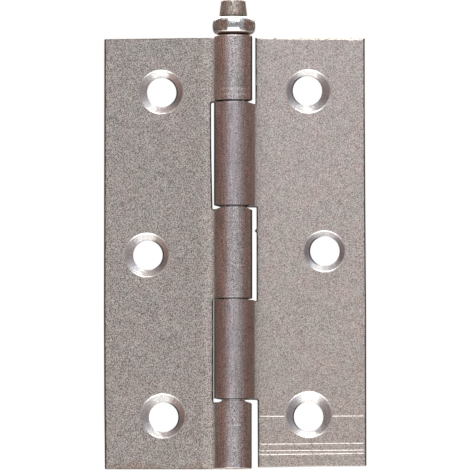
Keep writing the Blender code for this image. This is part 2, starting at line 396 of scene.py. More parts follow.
def round_corners(grid, edges):
    """Moves the outline's points onto an arc at each corner."""
    after = {first: second for first, second in edges}
    before = {second: first for first, second in edges}
    moves = {}
    for point in after:
        way_in = np.subtract(point, before[point])
        way_out = np.subtract(after[point], point)
        turn = way_in[0] * way_out[1] - way_in[1] * way_out[0]
        if turn == 0:
            continue
        radius = LEAF_CORNER if turn > 0 else NOTCH_CORNER
        corner = grid[point]
        arm_in = grid[before[before[point]]] - corner
        arm_out = grid[after[after[point]]] - corner
        reach_in = np.linalg.norm(arm_in)
        reach_out = np.linalg.norm(arm_out)
        if max(reach_in, reach_out) > CORNER_FIT * radius:
            continue
        arm_in = arm_in / reach_in
        arm_out = arm_out / reach_out
        radius = min(reach_in, reach_out)
        for part, place in enumerate((before[point], point, after[point]), 1):
            angle = part * math.pi / 8
            on_in = radius * (1 - math.sin(angle))
            on_out = radius * (1 - math.cos(angle))
            moves[place] = corner + arm_in * on_in + arm_out * on_out
    for place, target in moves.items():
        grid[place] = target


def outline_normals(grid, edges):
    """Outward direction at each point of the outline, long enough to offset both of its edges by one."""
    outward = {}
    for first, second in edges:
        way = grid[second] - grid[first]
        way = way / np.linalg.norm(way)
        normal = np.array((way[1], -way[0]))
        outward.setdefault(first, []).append(normal)
        outward.setdefault(second, []).append(normal)
    normals = {}
    for point, (one, other) in outward.items():
        normals[point] = (one + other) / (1 + max(-0.5, float(one @ other)))
    return normals


def rim_profile(front, back, sloped):
    """Inset and depth of the points of an edge's wall, from the front face to the back one. The front rim is
    round, or sloped with rounded ends."""
    points = []
    for step in range(5):
        angle = math.pi / 2 * step / 4
        inset = 1 - math.sin(angle)
        drop = 1 - math.cos(angle)
        if sloped:
            inset += (1 - step / 4 - inset) * RIM_SLOPE
            drop += (step / 4 - drop) * RIM_SLOPE
        points.append((front * inset, SHEET - front * drop))
    for part in (0.25, 0.5, 0.75):
        points.append((0.0, SHEET - front - (SHEET - front - back) * part))
    for step in range(4):
        angle = math.pi / 2 * step / 3
        points.append((back * (1 - math.cos(angle)), back * (1 - math.sin(angle))))
    return points


def roll(points, leaf):
    """Bends points given along, up and in depth round the pin. A swell widens the bore too; where the roll is
    slimmer, its sheet is thinner and the bore keeps its size."""
    along, z, depth = points.T
    turn = np.maximum(along, 0.0) / MIDDLE_RADIUS
    angle = math.pi / 2 - turn
    upwards = (z - leaf.foot) / (leaf.top - leaf.foot)
    swell = value_at(upwards, leaf.swell)
    swell = np.maximum(swell, 0.0) + np.minimum(swell, 0.0) * (1 - depth / SHEET)
    radius = BARREL_RADIUS - depth + swell * (1 - np.maximum(np.sin(angle), 0.0))
    part = np.clip((turn / math.tau - FLARE_START) / FLARE_SPAN, 0.0, 1.0)
    flare = value_at(upwards, leaf.flare) * part * part * (3 - 2 * part)
    x = AXIS_X - leaf.side * (radius * np.cos(angle) + np.minimum(along, 0.0) - flare)
    y = AXIS_Y + radius * np.sin(angle)
    return np.stack((x, y, z), 1)


def crown(points, top):
    """Raises the top knuckle's end into its rounded crown."""
    radius = np.hypot(points[:, 0] - AXIS_X, points[:, 1] - AXIS_Y)
    part = np.clip((radius - (BARREL_RADIUS - CROWN_WIDTH)) / CROWN_WIDTH, 0.0, 1.0)
    front = np.clip((-points[:, 1] - BARREL_RADIUS) / BARREL_RADIUS, 0.0, 1.0)
    rise = (CROWN_TOP - top) * np.sqrt(1 - part * part) - CROWN_DROP * part * front
    near = nearness(top - points[:, 2], CROWN_REACH)
    points[:, 2] += rise * near


def waviness(place, length, height, seed):
    """Smooth random height at a place in the sheet."""
    return height * noise.noise(Vector((place[0] / length, place[1] / length, seed)))


# The rim of a cut edge: how wide it is at the front and at the back, whether it is sloped, and its material
Rim = namedtuple("Rim", "front back sloped material")


def bent_rim(leaf, along, notch_line):
    """Width of the rolled-over top edge."""
    width = width_of(leaf)
    return float(value_at((along + width) / (width + notch_line), BENT_RIM))


def rim_of(leaf, along, z, notch_line):
    """The cut edge's rim at a place on the outline."""
    at_top = z > leaf.top - SLACK
    at_foot = z < leaf.foot + SLACK
    if along > notch_line + SLACK:
        if at_top or at_foot:
            return Rim(TOP_RIM, KNUCKLE_RIM, False, SHEET_FACE)
        return Rim(NOTCH_RIM, BACK_RIM, False, CUT_EDGE)
    if at_top and leaf.side > 0:
        return Rim(bent_rim(leaf, along, notch_line), BACK_RIM, True, BENT_EDGE)
    if at_top:
        return Rim(TOP_RIM, BACK_RIM, False, CUT_EDGE)
    if at_foot:
        return Rim(FOOT_RIM, BACK_RIM, False, CUT_EDGE if leaf.side < 0 else SHEET_FACE)
    if along < notch_line - KNUCKLE_REACH:
        return Rim(leaf.side_rim, BACK_RIM, False, CUT_EDGE)
    return Rim(NOTCH_RIM, BACK_RIM, False, CUT_EDGE)


def pushed(distance, rim):
    """How far a point of the sheet's face moves away from an edge to clear its rim."""
    return RIM_PUSH * rim * max(0.0, 1 - distance / RIM_REACH)


def clear_of_rims(leaf, place, along, z, notch_line):
    """Place of a point of the sheet's face, moved clear of the rims of the edges near it."""
    if along > notch_line + SLACK:
        return place
    width = width_of(leaf)
    aside = pushed(along + width, leaf.side_rim)
    for notch in leaf.notches:
        if notch.foot - SLACK < z < notch.top + SLACK:
            aside -= pushed(notch_line - along, NOTCH_RIM)
    inwards = max(0.0, min(1.0, (notch_line - along) / KNUCKLE_REACH))
    top_rim = bent_rim(leaf, along, notch_line) if leaf.side > 0 else TOP_RIM
    upwards = pushed(z - leaf.foot, FOOT_RIM) - pushed(leaf.top - z, top_rim)
    return place + np.array((aside, upwards * inwards))


def wall_points(place, normal, rim, seed):
    """Points of a cut edge's wall, from the front face to the back one, with a ragged front rim."""
    front = rim.front * (1 + waviness(place, RAGGED_LENGTH, RAGGED_SHARE, seed))
    points = []
    for inset, depth in rim_profile(front, rim.back, rim.sloped):
        x, z = place - normal * inset
        points.append((x, z, depth))
    return points


def leaf_faces(leaf, along, rows, kept, edges, stacks, rims):
    """Faces of the front, the back and the cut edges, and their materials."""
    faces = []
    materials = []
    for c, r, ring in cells(kept):
        faces.append([stacks[point][0] for point in ring])
        materials.append(face_material(leaf, (along[c] + along[c + 1]) / 2, (rows[r] + rows[r + 1]) / 2))
        faces.append([stacks[point][-1] for point in reversed(ring)])
        materials.append(SHEET_FACE)
    for first, second in edges:
        one, other = stacks[first], stacks[second]
        for upper in range(len(one) - 1):
            faces.append([one[upper], one[upper + 1], other[upper + 1], other[upper]])
            materials.append(rims[first] if rims[first] == rims[second] else CUT_EDGE)
    return faces, materials


def blank_grid(leaf, along, rows, notch_line, edges):
    """Places of the grid's points along and up, shaped to the blank's real edges."""
    grid = np.stack(np.meshgrid(along, rows, indexing="ij"), -1)
    slant_notches(leaf, grid, rows, notch_line)
    shape_edges(leaf, grid, notch_line)
    slope_scribes(leaf, grid, notch_line)
    dip_knuckles(leaf, grid, along, rows)
    round_corners(grid, edges)
    return grid


def leaf_mesh(leaf):
    """The leaf without its holes. Each grid point has a stack of vertices from the front face to the back."""
    along, rows, notch_line = blank_lines(leaf)
    kept = kept_cells(leaf, along, rows, notch_line)
    edges = outline_edges(kept)
    grid = blank_grid(leaf, along, rows, notch_line, edges)
    normals = outline_normals(grid, edges)

    verts = []
    stacks = {}
    rims = {}
    seed = 3.0 + leaf.side
    for point in dict.fromkeys(point for _, _, ring in cells(kept) for point in ring):
        start = len(verts)
        at = (along[point[0]], rows[point[1]])
        if point in normals:
            rim = rim_of(leaf, *at, notch_line)
            rims[point] = rim.material
            verts += wall_points(grid[point], normals[point], rim, seed)
        else:
            wave = waviness(grid[point], WAVE_LENGTH, WAVE_HEIGHT, seed)
            x, z = clear_of_rims(leaf, grid[point], *at, notch_line)
            verts += [(x, z, SHEET + wave + scribe_relief(leaf, *at)), (x, z, wave)]
        stacks[point] = range(start, len(verts))
    faces, materials = leaf_faces(leaf, along, rows, kept, edges, stacks, rims)

    points = roll(np.array(verts), leaf)
    if leaf.spans[0].top > leaf.top:
        crown(points, leaf.top)
    if leaf.side > 0:
        faces = [face[::-1] for face in faces]
    mesh = bpy.data.meshes.new(leaf.node)
    mesh.from_pydata(points.tolist(), [], faces)
    mesh.polygons.foreach_set("material_index", materials)
    mesh.validate()
    return mesh


# Turned shapes


def turned_mesh(name, section, steps):
    """Turns a section given as (radius, height) about Z; a point on the axis becomes one point."""
    verts = []
    rings = []
    for radius, z in section:
        if radius < SLACK:
            rings.append([len(verts)] * steps)
            verts.append((0.0, 0.0, z))
            continue
        rings.append(list(range(len(verts), len(verts) + steps)))
        for step in range(steps):
            angle = math.tau * step / steps
            verts.append((radius * math.cos(angle), radius * math.sin(angle), z))
    faces = []
    for upper, lower in zip(rings, rings[1:]):
        for step in range(steps):
            following = (step + 1) % steps
            face = [upper[step], lower[step], lower[following], upper[following]]
            face = list(dict.fromkeys(face))
            if len(face) > 2:
                faces.append(face)
    mesh = bpy.data.meshes.new(name)
    mesh.from_pydata(verts, [], faces)
    mesh.validate()
    return mesh


def show(name, data):
    """A new object in the scene."""
    item = bpy.data.objects.new(name, data)
    bpy.context.scene.collection.objects.link(item)
    return item


def settle(item):
    """Replaces an object's mesh by what its modifiers make of it."""
    depsgraph = bpy.context.evaluated_depsgraph_get()
    mesh = bpy.data.meshes.new_from_object(item.evaluated_get(depsgraph))
    old = item.data
    item.modifiers.clear()
    item.data = mesh
    mesh.name = old.name
    bpy.data.meshes.remove(old)


def smooth(item, angle):
    """Shades the faces smooth, but edges that turn by more than the angle sharp."""
    item.data.shade_smooth()
    item.data.set_sharp_from_angle(angle=math.radians(angle))


def weigh_normals(item):
    """Lets the large faces give the shading of the rounded edges beside them."""
    weighted = item.modifiers.new("weighted_normals", "WEIGHTED_NORMAL")
    weighted.keep_sharp = True
    weighted.weight = 80


# Screw holes


def drill_section():
    """The hole's wall, from above the front face to below the back one: a flared land."""
    above = SHEET + CUT_CLEAR
    flare_top = HOLE_LAND + 0.00015
    wide = HOLE_RADIUS + LAND_FLARE
    return [
        (0.0, above),
        (wide, above),
        (wide, flare_top),
        (HOLE_RADIUS + 0.3 * LAND_FLARE, 0.5 * flare_top),
        (HOLE_RADIUS, 0.00012),
        (HOLE_RADIUS + 0.00003, 0.00005),
        (HOLE_RADIUS + 0.00012, -0.00003),
        (HOLE_RADIUS + 0.00022, -CUT_CLEAR),
        (0.0, -CUT_CLEAR),
    ]


def sink_section(sink_radius):
    """The countersink's cone with its turned rings and its broken upper edge."""
    slope = (sink_radius - HOLE_RADIUS) / (SHEET - HOLE_LAND)
    tip = HOLE_LAND - HOLE_RADIUS / slope
    points = [(0.0, SHEET + CUT_CLEAR), (sink_radius + 0.00075, SHEET + CUT_CLEAR)]
    points.append((sink_radius + 0.00022, SHEET + 0.00003))
    points.append((sink_radius + 0.00008, SHEET - 0.00002))
    for ring in range(SINK_RINGS + 1):
        radius = sink_radius - 0.00006 - (sink_radius - HOLE_RADIUS) * ring / SINK_RINGS
        height = HOLE_LAND + (radius - HOLE_RADIUS) / slope
        points.append((radius, height + (RING_HEIGHT if ring % 2 else -RING_HEIGHT)))
    points.append((0.0, tip))
    return points


def cutter(name, section, x, z, material):
    """A round cutter lying along Y, its height 0 at the back of the sheet."""
    mesh = turned_mesh(name, section, SINK_STEPS)
    lay_down = Matrix(((1, 0, 0, x), (0, 0, -1, 0), (0, 1, 0, z), (0, 0, 0, 1)))
    mesh.transform(lay_down)
    mesh.materials.append(material)
    return show(name, mesh)


def cut(item, tool):
    """Takes a cutter's shape out of a piece."""
    boolean = item.modifiers.new(tool.name, "BOOLEAN")
    boolean.operation = "DIFFERENCE"
    boolean.solver = "EXACT"
    boolean.material_mode = "TRANSFER"
    boolean.object = tool


def drill_holes(item, leaf, material):
    """Drills and countersinks the leaf's holes and removes the cutters."""
    tools = []
    for index, hole in enumerate(leaf.holes):
        tools.append(cutter(f"drill_{index}", drill_section(), hole.x, hole.z, material))
        sink_x = hole.x + hole.drift_x
        sink_z = hole.z + hole.drift_z
        tools.append(cutter(f"sink_{index}", sink_section(hole.sink_radius), sink_x, sink_z, material))
    for tool in tools:
        cut(item, tool)
    settle(item)
    for tool in tools:
        mesh = tool.data
        bpy.data.objects.remove(tool)
        bpy.data.meshes.remove(mesh)


# Materials

# Noises, in waves per metre
GRAIN = 6600.0
PATCHES = 320.0
HUES = 850.0
CLOUDS = 480.0
STREAKS = 3600.0
TEARS = 2600.0
DULL_FLECKS = 2400.0
CHATTER = 2600.0
SINK_WAVER = 1100.0
SINK_DENTS = 1400.0
PITS = 2700.0
SPECKS = 5200.0
BEAD_FLECKS = 2300.0
BEAD_WEAR = 800.0
BEAD_DENTS = 1500.0
CAP_STREAKS = 3000.0
CAP_PATCHES = 1700.0
# Keeps both faces of the sheet clear of the grain's own planes, on which it is weak
GRAIN_OFFSET = (0.0, 0.26 / GRAIN, 0.0)
# Heights between which the film along a leaf's foot gets thicker
FOOT_FILM = (FRAME_LEAF_BOX[0].z + 0.0018, FRAME_LEAF_BOX[0].z + 0.0006)
# Depths in the barrel, from where its roll leaves the leaf
ROLL_START = -0.0018
ROLL_SIDE = -0.0026
ROLL_FRONT = -0.0060
WARMER = (1.006, 1.0, 0.993)
COOLER = (0.994, 1.0, 1.007)
# A painted brown reflection on the roll's sides
FLANK_REFLECTION_TINT = (1.02, 0.93, 0.84)
TORN_STEEL = (0.125, 0.110, 0.100)
SINK_STEEL = (0.60, 0.60, 0.59)
BEAD_STEEL = (0.84, 0.89, 0.90)
BEAD_FILM = (0.50, 0.39, 0.34)
CAP_BROWN = (0.38, 0.315, 0.265)
CAP_GREY = (0.40, 0.385, 0.36)
WHITE = (1.0, 1.0, 1.0)


class Nodes:
    """The node tree of a material or a world, with short ways to add and join nodes."""

    def __init__(self, owner, shader="Principled BSDF"):
        owner.use_nodes = True
        self.owner = owner
        self.tree = owner.node_tree
        self.shader = self.tree.nodes[shader]

    def set(self, node, inputs):
        """Joins or sets inputs; a colour may be given by its three parts."""
        for name, value in inputs.items():
            socket = node.inputs[name]
            if isinstance(value, bpy.types.NodeSocket):
                self.tree.links.new(value, socket)
            elif socket.type == "RGBA":
                socket.default_value = (*value, 1.0)
            else:
                socket.default_value = value

    def add(self, kind, inputs, output, **settings):
        node = self.tree.nodes.new(kind)
        for name, value in settings.items():
            setattr(node, name, value)
        self.set(node, inputs)
        return node.outputs[output]

    def place(self):
        return self.add("ShaderNodeTexCoord", {}, "Object")

    def facing(self):
        return self.add("ShaderNodeTexCoord", {}, "Normal")

    def split(self, vector):
        """The three parts of a vector."""
        node = self.tree.nodes.new("ShaderNodeSeparateXYZ")
        self.set(node, {"Vector": vector})
        return node.outputs

    def noise(self, vector, scale, detail=2.0, rough=0.5):
        inputs = {"Vector": vector, "Scale": scale, "Detail": detail, "Roughness": rough}
        return self.add("ShaderNodeTexNoise", inputs, "Fac")

    def range(self, value, low, high, to_low, to_high):
        inputs = {"Value": value, "From Min": low, "From Max": high, "To Min": to_low, "To Max": to_high}
        return self.add("ShaderNodeMapRange", inputs, "Result")

    def ramp(self, value, low, high):
        """0 at the low value and 1 at the high one, which may also be the smaller."""
        return self.range(value, low, high, 0.0, 1.0)

    def vector(self, operation, one, other, output="Vector"):
        return self.add("ShaderNodeVectorMath", {0: one, 1: other}, output, operation=operation)

    def stretch(self, vector, x, y, z):
        return self.vector("MULTIPLY", vector, (x, y, z))

    def scaled(self, color, factor):
        return self.add("ShaderNodeVectorMath", {0: color, "Scale": factor}, "Vector", operation="SCALE")

    def mix(self, factor, one, other, blend="MIX"):
        inputs = {0: factor, 6: one, 7: other}
        return self.add("ShaderNodeMix", inputs, 2, data_type="RGBA", blend_type=blend)

    def tinted(self, color, tone, factor=1.0):
        return self.mix(factor, color, tone, "MULTIPLY")

    def math(self, operation, *values):
        return self.add("ShaderNodeMath", dict(enumerate(values)), "Value", operation=operation)

    def times(self, one, other):
        return self.math("MULTIPLY", one, other)

    def plus(self, one, other):
        return self.math("ADD", one, other)

    def where(self, mask, gain):
        """The gain where the mask is 1, and 1 where it is 0."""
        return self.plus(1.0, self.times(mask, self.plus(gain, -1.0)))

    def within(self, value, middle, half):
        """1 where the value lies at most half away from the middle, 0 elsewhere."""
        return self.math("COMPARE", value, middle, half)

    def bump(self, height, strength, distance):
        inputs = {"Height": height, "Strength": strength, "Distance": distance}
        return self.add("ShaderNodeBump", inputs, "Normal")

    def metal(self, color, rough, relief):
        """Makes the material a metal and returns it."""
        self.set(self.shader, {"Base Color": color, "Roughness": rough, "Normal": relief})
        self.shader.inputs["Metallic"].default_value = 1.0
        return self.owner


def material_nodes(name):
    """The node tree of a new material."""
    return Nodes(bpy.data.materials.new(name))


# A mark on a leaf's steel: its middle, half its width and height, and how much brighter it is
Mark = namedtuple("Mark", "x z half_width half_height gain")
# Tones of a leaf's steel: the two of its patches, what multiplies them at its foot and top, on the roll,
# bluer and brighter, partly a painted highlight, at the roll's limb away from the leaf, a painted shade, and
# in the film along its foot, how far off the pin's axis that limb starts, how strong the grain is, and the
# painted light and painted shadow beside the barrel, as spans in X with the gain at both ends
Tones = namedtuple("Tones", "warm cool foot top rolled away film limb grain gains")


def marked(nodes, x, z, marks):
    """Brightness of the marks: 1 off them."""
    gain = 1.0
    for mark in marks:
        in_width = nodes.within(x, mark.x, mark.half_width)
        in_height = nodes.within(z, mark.z, mark.half_height)
        gain = nodes.times(gain, nodes.where(nodes.times(in_width, in_height), mark.gain))
    return gain


def sheet_color(nodes, place, leaf, tones):
    """Soft patches of warmer and cooler grey, bluer where rolled, partly a painted highlight, a painted brown
    reflection on the roll's sides, a brown film along the foot and a painted shade on the far limb."""
    x, depth, z = nodes.split(place)
    patches = nodes.ramp(nodes.noise(place, PATCHES), 0.38, 0.62)
    color = nodes.mix(patches, tones.warm, tones.cool)
    hue = nodes.ramp(nodes.noise(place, HUES, 1.0), 0.35, 0.65)
    color = nodes.tinted(color, nodes.mix(hue, WARMER, COOLER))
    height = nodes.ramp(z, FRAME_LEAF_BOX[0].z, LEAF_TOP)
    color = nodes.tinted(color, nodes.mix(height, tones.foot, tones.top))
    # Bluer and brighter towards the roll's front, partly a painted highlight
    color = nodes.tinted(color, tones.rolled, nodes.ramp(depth, ROLL_START, ROLL_FRONT))
    uneven = nodes.range(patches, 0.0, 1.0, -0.0005, 0.0005)
    at_foot = nodes.ramp(nodes.plus(z, uneven), *FOOT_FILM)
    flat = nodes.ramp(depth, ROLL_SIDE, ROLL_START)
    color = nodes.tinted(color, tones.film, nodes.times(at_foot, flat))
    off_axis = nodes.plus(x, -AXIS_X)
    # A painted brown reflection on the roll's sides
    aside = nodes.ramp(nodes.math("ABSOLUTE", off_axis), 0.0010, 0.0034)
    color = nodes.tinted(color, FLANK_REFLECTION_TINT, nodes.times(aside, nodes.ramp(depth, ROLL_START, ROLL_SIDE)))
    # A painted shade on the roll's limb away from the leaf
    painted_limb_shade = nodes.ramp(nodes.times(off_axis, -leaf.side), tones.limb, tones.limb + 0.00015)
    return nodes.tinted(color, tones.away, painted_limb_shade)


def sheet_gain(nodes, place, tones, marks):
    """Brightness of the sheet: clouds, lines drawn along the roll, marks, wear on the top knuckle, and
    painted light and painted shadow on the leaf beside the barrel.
    """
    x, depth, z = nodes.split(place)
    flat = nodes.ramp(depth, ROLL_SIDE, ROLL_START)
    streak = nodes.noise(nodes.stretch(place, 1.0, 1.0, 0.06), STREAKS, 2.0, 0.6)
    drawn = nodes.where(nodes.ramp(depth, ROLL_START, ROLL_FRONT), nodes.range(streak, 0.3, 0.7, 0.80, 1.20))
    cloud = nodes.range(nodes.noise(place, CLOUDS, 3.0), 0.3, 0.7, 0.94, 1.06)
    gain = nodes.times(nodes.times(cloud, drawn), marked(nodes, x, z, marks))
    # Painted light and painted shadow on the flat leaf beside the barrel
    for span in tones.gains:
        gain = nodes.times(gain, nodes.where(flat, nodes.range(x, *span)))
    worn = nodes.range(z, LEAF_TOP - 0.0130, LEAF_TOP - 0.0010, 1.0, 1.20)
    return nodes.times(gain, nodes.where(nodes.ramp(depth, ROLL_START, ROLL_SIDE), worn))


def leaf_steel(name, leaf, tones, marks):
    """Raw matt sheet with fine pepper-and-salt grain, drawn smoother along the pin where it is rolled."""
    nodes = material_nodes(name)
    place = nodes.place()
    grain = nodes.noise(nodes.stretch(nodes.vector("ADD", place, GRAIN_OFFSET), 1.0, 1.0, 0.8), GRAIN, 1.0)
    swing = [tones.grain * part for part in (1.0, 1.05, 1.08)]
    low = [1 - part for part in swing]
    high = [1 + part for part in swing]
    fleck = nodes.mix(nodes.ramp(grain, 0.32, 0.68), low, high)
    color = nodes.tinted(sheet_color(nodes, place, leaf, tones), fleck)
    color = nodes.scaled(color, sheet_gain(nodes, place, tones, marks))
    rolled = nodes.ramp(nodes.split(place)[1], ROLL_START, ROLL_FRONT)
    rough = nodes.times(nodes.range(grain, 0.3, 0.7, 0.62, 0.46), nodes.where(rolled, 0.76))
    return nodes.metal(color, rough, nodes.bump(grain, 0.35, 0.00003))


def sheared_edge():
    """Dark torn steel of a sheared edge."""
    nodes = material_nodes("sheared_edge")
    grain = nodes.noise(nodes.place(), TEARS, 3.0, 0.7)
    color = nodes.scaled(TORN_STEEL, nodes.range(grain, 0.3, 0.7, 0.4, 1.6))
    rough = nodes.range(grain, 0.3, 0.7, 0.65, 0.45)
    return nodes.metal(color, rough, nodes.bump(grain, 0.5, 0.00004))


def bright_edge(name, dull, bright):
    """Bright steel of a burr or a rolled-over edge, broken by dull flecks."""
    nodes = material_nodes(name)
    grain = nodes.noise(nodes.stretch(nodes.place(), 0.7, 1.0, 1.0), DULL_FLECKS, 3.0, 0.7)
    color = nodes.mix(nodes.ramp(grain, 0.36, 0.48), dull, bright)
    rough = nodes.range(grain, 0.3, 0.7, 0.5, 0.32)
    return nodes.metal(color, rough, nodes.bump(grain, 0.4, 0.00003))


# A side of a countersink with painted reflection and shade, partly a dull brown film: the direction that it
# lies in, in degrees clockwise from up, how far off that direction, as a cosine, the paint starts and is
# full, and its colour
PaintedSinkSide = namedtuple("PaintedSinkSide", "bearing thin full color")


def from_holes(nodes, place, holes):
    """Distance from the axis of the nearest hole."""
    in_face = nodes.stretch(place, 1.0, 0.0, 1.0)
    least = 1.0
    for hole in holes:
        away = nodes.vector("DISTANCE", in_face, (hole.x, 0.0, hole.z), "Value")
        least = nodes.math("MINIMUM", least, away)
    return least


def cut_steel(name, leaf, painted_sink_sides):
    """Bare steel as the countersinking tool leaves it, with chatter across the turned rings, painted
    reflection and shade on its sides that partly stands for a dull brown film, and a painted shade where the
    hole's wall starts, on the side towards the barrel."""
    nodes = material_nodes(name)
    place = nodes.place()
    normal = nodes.facing()
    grain = nodes.noise(place, CHATTER, 3.0, 0.6)
    uneven = nodes.range(nodes.noise(place, SINK_WAVER), 0.3, 0.7, -0.08, 0.08)
    color = SINK_STEEL
    cover = 0.0
    # Each painted sink side lays a painted reflection and shade over the steel
    for dull in painted_sink_sides:
        bearing = math.radians(dull.bearing)
        facing = (-math.sin(bearing) / SINK_LEAN, 0.0, -math.cos(bearing) / SINK_LEAN)
        toward = nodes.vector("DOT_PRODUCT", normal, facing, "Value")
        film = nodes.ramp(nodes.plus(toward, uneven), dull.thin, dull.full)
        color = nodes.mix(film, color, dull.color)
        cover = nodes.math("MAXIMUM", cover, film)
    inwards = nodes.times(nodes.split(normal)[0], leaf.side)
    radius = nodes.plus(from_holes(nodes, place, leaf.holes), nodes.times(uneven, 0.0006))
    # A painted shade where the hole's wall starts, on the side towards the barrel
    at_wall = nodes.ramp(radius, HOLE_RADIUS + 0.00036, HOLE_RADIUS + 0.00026)
    painted_wall_shade = nodes.times(at_wall, nodes.ramp(inwards, 0.20, 0.50))
    chatter = nodes.range(grain, 0.3, 0.7, 0.74, 1.26)
    color = nodes.scaled(color, nodes.times(chatter, nodes.where(painted_wall_shade, 0.30)))
    clean = nodes.range(grain, 0.3, 0.7, 0.34, 0.20)
    rough = nodes.plus(nodes.plus(clean, nodes.times(cover, 0.32)), nodes.times(painted_wall_shade, 0.2))
    return nodes.metal(color, rough, nodes.bump(nodes.noise(place, SINK_DENTS), 0.6, 0.00004))


def bead_steel():
    """Polished steel, pitted and dulled by handling, cleaner on its lower half's front and back, where the
    brighter colour is partly a painted highlight, with a brown film where it meets the knuckle."""
    nodes = material_nodes("bead_steel")
    place = nodes.place()
    z = nodes.split(place)[2]
    sideways = nodes.math("ABSOLUTE", nodes.split(nodes.facing())[0])
    # Cleaner, brighter steel on the lower half's front and back: partly polish, partly a painted highlight
    # band
    clean = nodes.ramp(z, BEAD_FOOT + 0.0025, BEAD_FOOT + 0.0019)
    clean = nodes.times(clean, nodes.ramp(sideways, 0.52, 0.38))
    pits = nodes.noise(nodes.stretch(place, 1.0, 1.0, 0.8), PITS, 3.0, 0.6)
    specks = nodes.range(nodes.noise(place, SPECKS), 0.38, 0.52, 0.35, 1.0)
    pitted = nodes.times(nodes.range(pits, 0.34, 0.62, 0.45, 1.25), specks)
    pitted = nodes.where(nodes.where(clean, 0.45), pitted)
    flecks = nodes.range(nodes.noise(place, BEAD_FLECKS, 2.0, 0.6), 0.40, 0.60, 0.55, 1.30)
    flecks = nodes.where(nodes.ramp(sideways, 0.38, 0.52), flecks)
    film = nodes.within(z, BEAD_FOOT, 0.0005)
    color = nodes.mix(film, nodes.scaled(BEAD_STEEL, nodes.times(pitted, flecks)), BEAD_FILM)
    rough = nodes.range(nodes.noise(place, BEAD_WEAR, 3.0), 0.35, 0.7, 0.16, 0.42)
    rough = nodes.plus(nodes.times(rough, nodes.where(clean, 0.4225)), nodes.times(film, 0.3))
    dents = nodes.times(nodes.noise(place, BEAD_DENTS, 3.0), nodes.where(clean, 0.34))
    return nodes.metal(color, rough, nodes.bump(dents, 0.9, 0.00006))


def cap_steel():
    """Dull drawn steel, streaked along the pin and flecked with brown."""
    nodes = material_nodes("cap_steel")
    place = nodes.place()
    streaks = nodes.noise(nodes.stretch(place, 1.0, 1.0, 0.55), CAP_STREAKS, 3.0, 0.65)
    patches = nodes.ramp(nodes.noise(nodes.stretch(place, 1.0, 1.0, 0.7), CAP_PATCHES), 0.4, 0.6)
    color = nodes.mix(patches, CAP_BROWN, CAP_GREY)
    color = nodes.scaled(color, nodes.range(streaks, 0.32, 0.68, 0.40, 1.60))
    rough = nodes.range(streaks, 0.3, 0.7, 0.68, 0.45)
    return nodes.metal(color, rough, nodes.bump(streaks, 0.6, 0.00005))


# Pieces

# Each countersink's drift off its hole and radius, from the top one down
FRAME_LEAF_SINKS = (
    (-0.00010, 0.00002, 0.00505),
    (-0.00024, -0.00005, 0.00505),
    (-0.00010, 0.00024, 0.00506),
)
DOOR_LEAF_SINKS = (
    (0.00018, -0.00023, 0.00503),
    (-0.00012, -0.00012, 0.00472),
    (0.00005, 0.00046, 0.00526),
)
# Clearance beside the barrel in the frame leaf's upper notch, as pairs of a place up it and the clearance
UPPER_NOTCH = ((0.0, 0.00044), (0.25, 0.00058), (0.44, 0.00068), (0.63, 0.00075), (1.0, 0.00079))
LEVEL = ((0.0, 0.0), (1.0, 0.0))


def opening_center(name):
    """Centre of one of the record's openings, in the leaf's plane."""
    for opening in frame["record"]["physics"]["openings"]:
        if opening["name"] == name:
            low, high = opening["box_m"]
            return (low[0] + high[0]) / 2, (low[2] + high[2]) / 2
    raise ValueError(f"the record has no opening named {name}")


def holes_of(node, sinks):
    """The leaf's three holes with their countersinks."""
    holes = []
    for place, sink in zip(("top", "middle", "bottom"), sinks):
        x, z = opening_center(f"{node}_{place}_hole")
        holes.append(Hole(x, z, *sink))
    return holes


def frame_leaf():
    """The leaf with knuckles 1, 3 and 5."""
    return Leaf(
        node="frame_leaf",
        side=-1,
        free_edge=FRAME_LEAF_BOX[0].x,
        foot=FRAME_LEAF_BOX[0].z,
        top=LEAF_TOP,
        spans=(
            Span(FIRST_FOOT, CROWN_TOP, 0.0, 0.00025, 0.0, 0.0),
            Span(THIRD_FOOT, THIRD_TOP, 0.00004, 0.00010, 0.00050, 0.00055),
            Span(FIFTH_FOOT, FIFTH_TOP, 0.0, 0.0, 0.00045, 0.00042),
        ),
        notches=(
            Notch(THIRD_TOP, FIRST_FOOT, UPPER_NOTCH),
            Notch(FIFTH_TOP, THIRD_FOOT, ((0.0, 0.00020), (1.0, 0.00020))),
        ),
        holes=holes_of("frame_leaf", FRAME_LEAF_SINKS),
        scribes=(),
        burrs=(),
        top_line=((0.0, 0.00036), (0.75, 0.00010), (1.0, 0.00007)),
        foot_line=LEVEL,
        side_line=((0.0, 0.00030), (0.04, 0.00025), (0.16, 0.00011), (0.36, 0.0), (1.0, 0.0)),
        side_rim=0.00042,
        swell=((0.16, -0.00010), (0.36, 0.00004), (1.0, 0.00006)),
        flare=LEVEL,
    )


